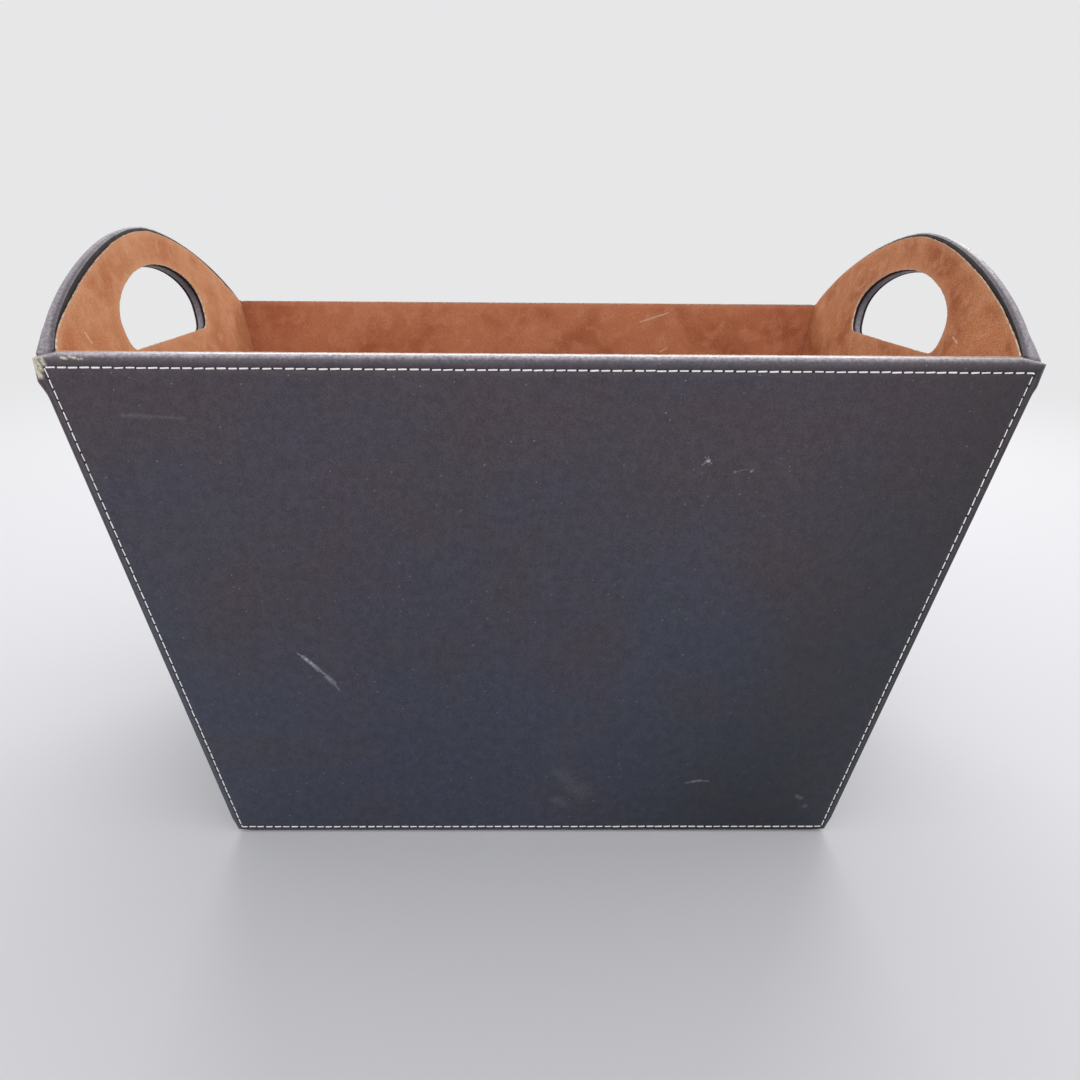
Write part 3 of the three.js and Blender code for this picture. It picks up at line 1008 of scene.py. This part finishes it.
def makeFacing(name, wall):
    around = facing["around"]
    piece = primitive(
        name, bpy.ops.mesh.primitive_circle_add, vertices=around, radius=hole["half"])
    store(piece, "round", np.arange(around) / around)
    for key in ("edge", "seam"):
        store(piece, key, np.zeros(around))
    choose(piece, vertices=True)
    for k, (offset, depth, rubbedAndHighlit, dark) in enumerate(facing["profile"]):
        ring = drawOut(piece) if k else chosen(piece)
        setRound(piece, wall["arch"], ring, offset, depth)
        for key, value in (("edge", rubbedAndHighlit), ("seam", dark)):
            store(piece, key, np.where(ring, value, fetch(piece, key)))
    # The strip is painted lighter towards the foot of the hole, a painted highlight
    height = places(piece)[:, 1]
    down = (height.max() - height) / np.ptp(height)
    crown, more = facing["rubbedAndHighlit"]
    store(piece, "edge", fetch(piece, "edge") * (crown + more * down ** 3))
    face = piece.data.polygons[2 * around]
    middle = Vector(holeOutline(wall["arch"])[0].mean(axis=0)).to_3d()
    if face.normal.dot(middle - face.center) < 0:
        flip(piece)
    thicken(piece, basket["leather"])
    smoothUnder(piece, softAngle)
    return piece


# The suede: one sheet on the inside of each wall, with raw edges
lining = {
    "step": 2.4,
    "belowRim": 0.3,
    "ragged": 0.24,
    "holeEdge": [3.4, 2.4, 1.6, 1.05, 0.7, 0.4],
    "overhang": 1.4,  # over the foot of the hole
    "waveLength": 26,
    "waveHeight": 0.14,
    "borderRows": [0, 1.2, 3],
    "crownRows": [0, 0.35, 0.7, 1.1, 1.8, 3],
    "away": 9,  # more than the reach of a raw edge's colour
    "baseStep": 3,
    "baseWave": (30, 0.06),
}


def bareLeather(wall):
    if "arch" not in wall:
        return lambda x: lining["belowRim"] + lining["ragged"] / 2 * fray(x)
    arch = wall["arch"]
    at, width = np.array(arch["bare"]).T
    return lambda x: np.interp(-arch["front"] * x, at, width) + lining["ragged"] * fray(x)


def cutArea(piece):
    return sum(face.area for face in piece.data.polygons)


def makeLining(name, wall, finish):
    side, low = wall["liningSide"], basket["floor"]
    rows = lining["borderRows"]
    insets = {"side": rows, "crown": lining["crownRows"], "foot": rows}
    piece = cutGrid(name, wall, side, insets, lining["step"])
    picked = fetch(piece, "up") > -1
    layOut(piece, wall, side, low, picked, liningFace, bareLeather(wall))
    gap = np.where(fetch(piece, "up") == 1, fetch(piece, "crownInset"), lining["away"])
    store(piece, "raw", gap)
    if "arch" in wall:
        profile = [(offset, liningFace) for offset in lining["holeEdge"]]
        cutHole(piece, wall["arch"], profile, lining["overhang"], lining["ragged"])
        edge = holeEdge(wall["arch"], profile[-1][0], lining["overhang"])
        points = places(piece)
        store(piece, "raw", np.minimum(fetch(piece, "raw"), distanceFrom(edge, points[:, :2])))
    ripple(piece, lining, 3 + len(name))
    flip(piece)
    area = cutArea(piece) * millimetre ** 2
    width, height, _ = piece.dimensions
    addFinish(piece, finish)
    addFinish(piece, rawEdge)
    thicken(piece, basket["suede"], material_offset_rim=1)
    smoothUnder(piece, softAngle)
    return piece, (width * millimetre, height * millimetre), area


def makeBaseLining(name):
    lined = liningFace + basket["seat"]
    height, step = basket["floor"], lining["baseStep"]
    halfWidth = (basket["baseWidth"] / 2 + height * math.tan(endLean)
                 - (basket["setBack"] + lined) / math.cos(endLean))
    halfDepth = basket["baseDepth"] / 2 + height * math.tan(frontLean) - lined / math.cos(frontLean)
    piece = primitive(
        name, bpy.ops.mesh.primitive_grid_add, x_subdivisions=round(halfWidth / step),
        y_subdivisions=round(halfDepth / step), size=2)
    points = places(piece) * [halfWidth, halfDepth, 1]
    length, rise = lining["baseWave"]
    points[:, 2] = height + basket["suede"] - rise + wave(points, length, rise, 4)
    setPlaces(piece, points)
    store(piece, "raw", np.full(len(points), lining["away"]))
    addFinish(piece, suedeBase)
    thicken(piece, basket["suede"])
    only(piece)
    piece.matrix_world = Matrix.Scale(millimetre, 4)
    bpy.ops.object.transform_apply(location=True, rotation=True, scale=True)
    return piece, (2 * halfWidth * millimetre, 2 * halfDepth * millimetre)


# The boards in the two ends, under the leather
stiffener = {
    "step": 6,
    "rim": 0.5,
    "margin": 8,
    "holeMargin": 7,
    "edge": 0.4,
}


def makeBoard(name, wall):
    inset = basket["leather"] + basket["seat"]
    rows = [inset, inset + stiffener["rim"], stiffener["margin"]]
    insets = {"side": rows, "crown": rows, "foot": rows}
    piece = cutGrid(name, wall, wall["side"], insets, stiffener["step"])
    layOut(piece, wall, wall["side"], basket["foot"], fetch(piece, "up") > -1, inset)
    cutHole(piece, wall["arch"], [(stiffener["holeMargin"], inset), (inset, inset)])
    thicken(piece, basket["board"])
    finishWith(piece, "BEVEL", width=stiffener["edge"], segments=2, limit_method="ANGLE",
               angle_limit=math.radians(50))
    return piece


# The stitches: one is modelled, and copied along each seam
stitching = {
    "pitch": 4.68,
    "length": 4.75,
    "thickness": 0.72,
    "taper": 0.4,
    "flatness": 0.9,
    "softAngle": 60,
    "sides": 8,
    "parts": 8,
    "lift": 0.12,  # the middle of the thread above the leather
    "sink": 1,  # how far its ends go down
    "slant": 0.03,
    "uneven": 0.05,
    "strayAlong": 0.03,
    "strayLength": (-0.07, 0.04),
    "straySlant": 0.015,
    "strayThick": (-0.1, 0.12),
    "strayHeight": (-0.04, 0.06),
    "cornerRound": 0.7,
    "sample": 0.2,  # along the seam's line
    "sideShare": 0.8,  # of the thickness, on the sides
}


def makeStitch():
    stitch = primitive(
        "stitch", bpy.ops.mesh.primitive_cylinder_add, vertices=stitching["sides"],
        radius=stitching["thickness"] / 2, depth=1, rotation=(0, math.pi / 2, 0))
    bpy.ops.object.transform_apply(location=True, rotation=True, scale=True)
    ends = np.zeros(len(stitch.data.edges) * 2, int)
    stitch.data.edges.foreach_get("vertices", ends)
    x = places(stitch)[:, 0][ends.reshape(-1, 2)]
    choose(stitch)
    edit(stitch, "EDGE")  # so that only the edges chosen next are selected
    done()
    stitch.data.edges.foreach_set("select", x[:, 0] * x[:, 1] < 0)
    edit(stitch, "EDGE")
    bpy.ops.mesh.subdivide(number_cuts=stitching["parts"] - 1)
    done()
    points = places(stitch)
    thin = 1 - stitching["taper"] * (2 * np.abs(points[:, 0])) ** 6
    points[:, 1:] *= thin[:, None] * [1, stitching["flatness"]]
    points[:, 2] += stitching["lift"] - stitching["sink"] * (2 * np.abs(points[:, 0])) ** 12
    setPlaces(stitch, points)
    smoothUnder(stitch, stitching["softAngle"])
    return stitch


# The line of a seam round a wall, evenly sampled and with round corners
def seamLine(wall):
    n = 400
    run, flat = np.linspace(0, 1, n), np.ones(n)
    legs = [(2 * run - 1, flat), (flat, 1 - run), (1 - 2 * run, 0 * flat), (-flat, run)]
    points = []
    for across, up in legs:
        x, y = placeOn(
            wall, wall["side"], basket["foot"], across, up, cover["seamFromSide"] * flat,
            cover["seamBelowRim"] * flat, cover["seamAboveFoot"] * flat)
        points.append(np.column_stack([x, y])[:-1])
    points = np.concatenate(points)
    closed = closedUp(points)
    way = wayAlong(closed)
    count = round(way[-1] / stitching["sample"])
    even = np.linspace(0, way[-1], count, endpoint=False)
    line = valuesAt(even, way, closed)
    reach = round(stitching["cornerRound"] / stitching["sample"])
    line = sum(np.roll(line, shift, axis=0) for shift in range(-reach, reach + 1)) / (2 * reach + 1)
    return line, way[-1]


def makeStitching(name, wall, stitch, seed):
    chance = random.Random(seed)
    line, length = seamLine(wall)
    ahead = np.roll(line, -1, axis=0) - np.roll(line, 1, axis=0)
    ahead /= np.hypot(*ahead.T)[:, None]
    aside = np.column_stack([-ahead[:, 1], ahead[:, 0]])
    count = round(length / stitching["pitch"])
    shape = places(stitch)
    at = np.arange(len(line) + 1) / len(line) * length
    around = closedUp(line), closedUp(aside)
    copies, stray = [], stitching["strayAlong"]
    for k in range(count):
        middle = (k + 0.5 + chance.uniform(-stray, stray)) * length / count
        long = stitching["length"] * (1 + chance.uniform(*stitching["strayLength"]))
        slant = stitching["slant"] + chance.gauss(0, stitching["straySlant"])
        shift = chance.gauss(0, stitching["uneven"])
        thick = 1 + chance.uniform(*stitching["strayThick"])
        upright = abs(np.interp(middle % length, at, np.append(ahead[:, 1], ahead[0, 1])))
        thick *= 1 - (1 - stitching["sideShare"]) * upright
        where = (middle + shape[:, 0] * long) % length
        out = (shape[:, 1] * thick + slant * shape[:, 0] * long + shift)[:, None]
        spot, side = (valuesAt(where, at, table) for table in around)
        copy = stitch.copy()
        copy.data = stitch.data.copy()
        bpy.context.collection.objects.link(copy)
        height = shape[:, 2] * thick - cover["furrow"] + chance.uniform(*stitching["strayHeight"])
        points = np.column_stack([spot + side * out, height])
        if "arch" in wall:
            flareArch(points, wall)
        setPlaces(copy, points)
        copies.append(copy)
    bpy.ops.object.select_all(action="DESELECT")
    for copy in copies:
        copy.select_set(True)
    bpy.context.view_layer.objects.active = copies[0]
    bpy.ops.object.join()
    piece = bpy.context.object
    piece.name = piece.data.name = name
    print(name, "has", count, "stitches")
    return piece


# Making the basket
def settle(piece, finish, slot, *nodes):
    if finish:
        piece.data.materials.clear()
        addFinish(piece, finish)
    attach(piece, "root")
    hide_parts(*nodes)


stitch = makeStitch()
suedes = {"front": suedeBack, "back": suedeBack, "left_end": suedeLeft, "right_end": suedeRight}
for seed, (name, wall) in enumerate(walls.items()):
    wrap = makeCover(name + "_leather", wall)
    stand(wrap, wall)
    settle(wrap, frontLeather if name == "front" else plainLeather, "black_leather", name + "_cover")

    seam = makeStitching(name + "_stitching", wall, stitch, seed)
    stand(seam, wall)
    settle(seam, thread, "white_thread", name + "_seam_thread")

    sheet, flat, area = makeLining(name + "_suede", wall, suedes[name])
    stand(sheet, wall)
    settle(sheet, None, "tan_suede", name + "_lining")

    if "arch" in wall:
        strip = makeFacing(name.replace("_end", "") + "_hole_facing", wall)
        stand(strip, wall)
        settle(strip, plainLeather, "black_leather", name.replace("_end", "") + "_hand_hole_facing")
        board = makeBoard(name + "_stiffener", wall)
        stand(board, wall)
        settle(board, fibreboard, "fibreboard", name + "_board")
    print(name, "wall made")
bpy.data.objects.remove(stitch)

sheet, flat = makeBaseLining("base_suede")
settle(sheet, None, "tan_suede", "base_lining")

for name, finish in (("front_board", fibreboard), ("back_board", fibreboard),
                     ("base_board", fibreboard), ("underside_sheet", undersideCloth)):
    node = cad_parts[name]
    node.data.materials.clear()
    addFinish(node, finish)
print("all pieces made")

# A pale floor that runs out into a pale backdrop, and soft light from above and behind
studio = {
    "floor": paint(226, 226, 228),
    "floorReach": 12,
    "fadeFrom": 0.45,
    "fadeTo": 1.7,
    "surround": (0.54, 0.54, 0.56, 1),
    "seen": (0.8, 0.8, 0.81, 1),
    "lamps": [  # place, width and height, power
        ((0.5, -0.2, 1.8), (2, 2), 6),
        ((0.2, 1.9, 1.3), (3.2, 1.2), 42),
        ((-0.2, -2.2, 1), (2.6, 1.6), 22),
    ],
}


def seenDirectly(tree):  # by the camera, and by what shines
    path = {name: addNode(tree, "LightPath", output=name)
            for name in ("Is Camera Ray", "Is Glossy Ray", "Is Transmission Ray")}
    shiny = calculate(tree, "MAXIMUM", path["Is Glossy Ray"], path["Is Transmission Ray"])
    return calculate(tree, "MAXIMUM", path["Is Camera Ray"], shiny)


def makeFloor():
    floor = primitive("floor", bpy.ops.mesh.primitive_plane_add, size=2 * studio["floorReach"])
    material, tree = newMaterial("floorPaint")
    shade = shaded(tree, studio["floor"], grain(tree, 900), 0.98, 1)
    near = addNode(tree, "BsdfPrincipled", {
        "Base Color": shade, "Roughness": 0.9, "Specular IOR Level": 0.1})
    far = addNode(tree, "Emission", {"Color": studio["seen"], "Strength": 1})
    away = addNode(tree, "VectorMath", {0: onObject(tree)}, output="Value", operation="LENGTH")
    fade = ramp(tree, away, studio["fadeFrom"], studio["fadeTo"])
    fade = calculate(tree, "MULTIPLY", fade, seenDirectly(tree))
    endWith(tree, addNode(tree, "MixShader", {0: fade, 1: near, 2: far}))
    addFinish(floor, material)


def makeSurround():
    world = bpy.data.worlds.new("surround")
    bpy.context.scene.world = world
    world.use_nodes = True
    tree = world.node_tree
    tree.nodes.clear()
    lit = addNode(tree, "Background", {"Color": studio["surround"], "Strength": 1})
    seen = addNode(tree, "Background", {"Color": studio["seen"], "Strength": 1})
    endWith(tree, addNode(tree, "MixShader", {0: seenDirectly(tree), 1: lit, 2: seen}), "World")


def makeLamp(place, width, height, power):
    bpy.ops.object.light_add(type="AREA", location=place)
    lamp = bpy.context.object
    lamp.data.shape = "RECTANGLE"
    lamp.data.size = width
    lamp.data.size_y = height
    lamp.data.energy = power
    aim = Vector((0, 0, 0.2)) - lamp.location
    lamp.rotation_euler = aim.to_track_quat("-Z", "Y").to_euler()


makeFloor()
makeSurround()
for place, (width, height), power in studio["lamps"]:
    makeLamp(place, width, height, power)

# The camera stands where the photograph was taken from
view = {
    "place": (-0.01387, -0.46353, 0.31278),
    "turn": (68.7101, -0.4259, -0.5554),
    "lens": 26.606,
    "shift": 0.02023,
    "sensor": 36,
    "nearest": 0.01,
}
bpy.ops.object.camera_add(
    location=view["place"], rotation=[math.radians(angle) for angle in view["turn"]])
camera = bpy.context.object
camera.data.lens = view["lens"]
camera.data.sensor_width = view["sensor"]
camera.data.shift_x = view["shift"]
camera.data.clip_start = view["nearest"]
bpy.context.scene.camera = camera
bpy.context.scene.view_settings.view_transform = "Standard"
print("studio ready")
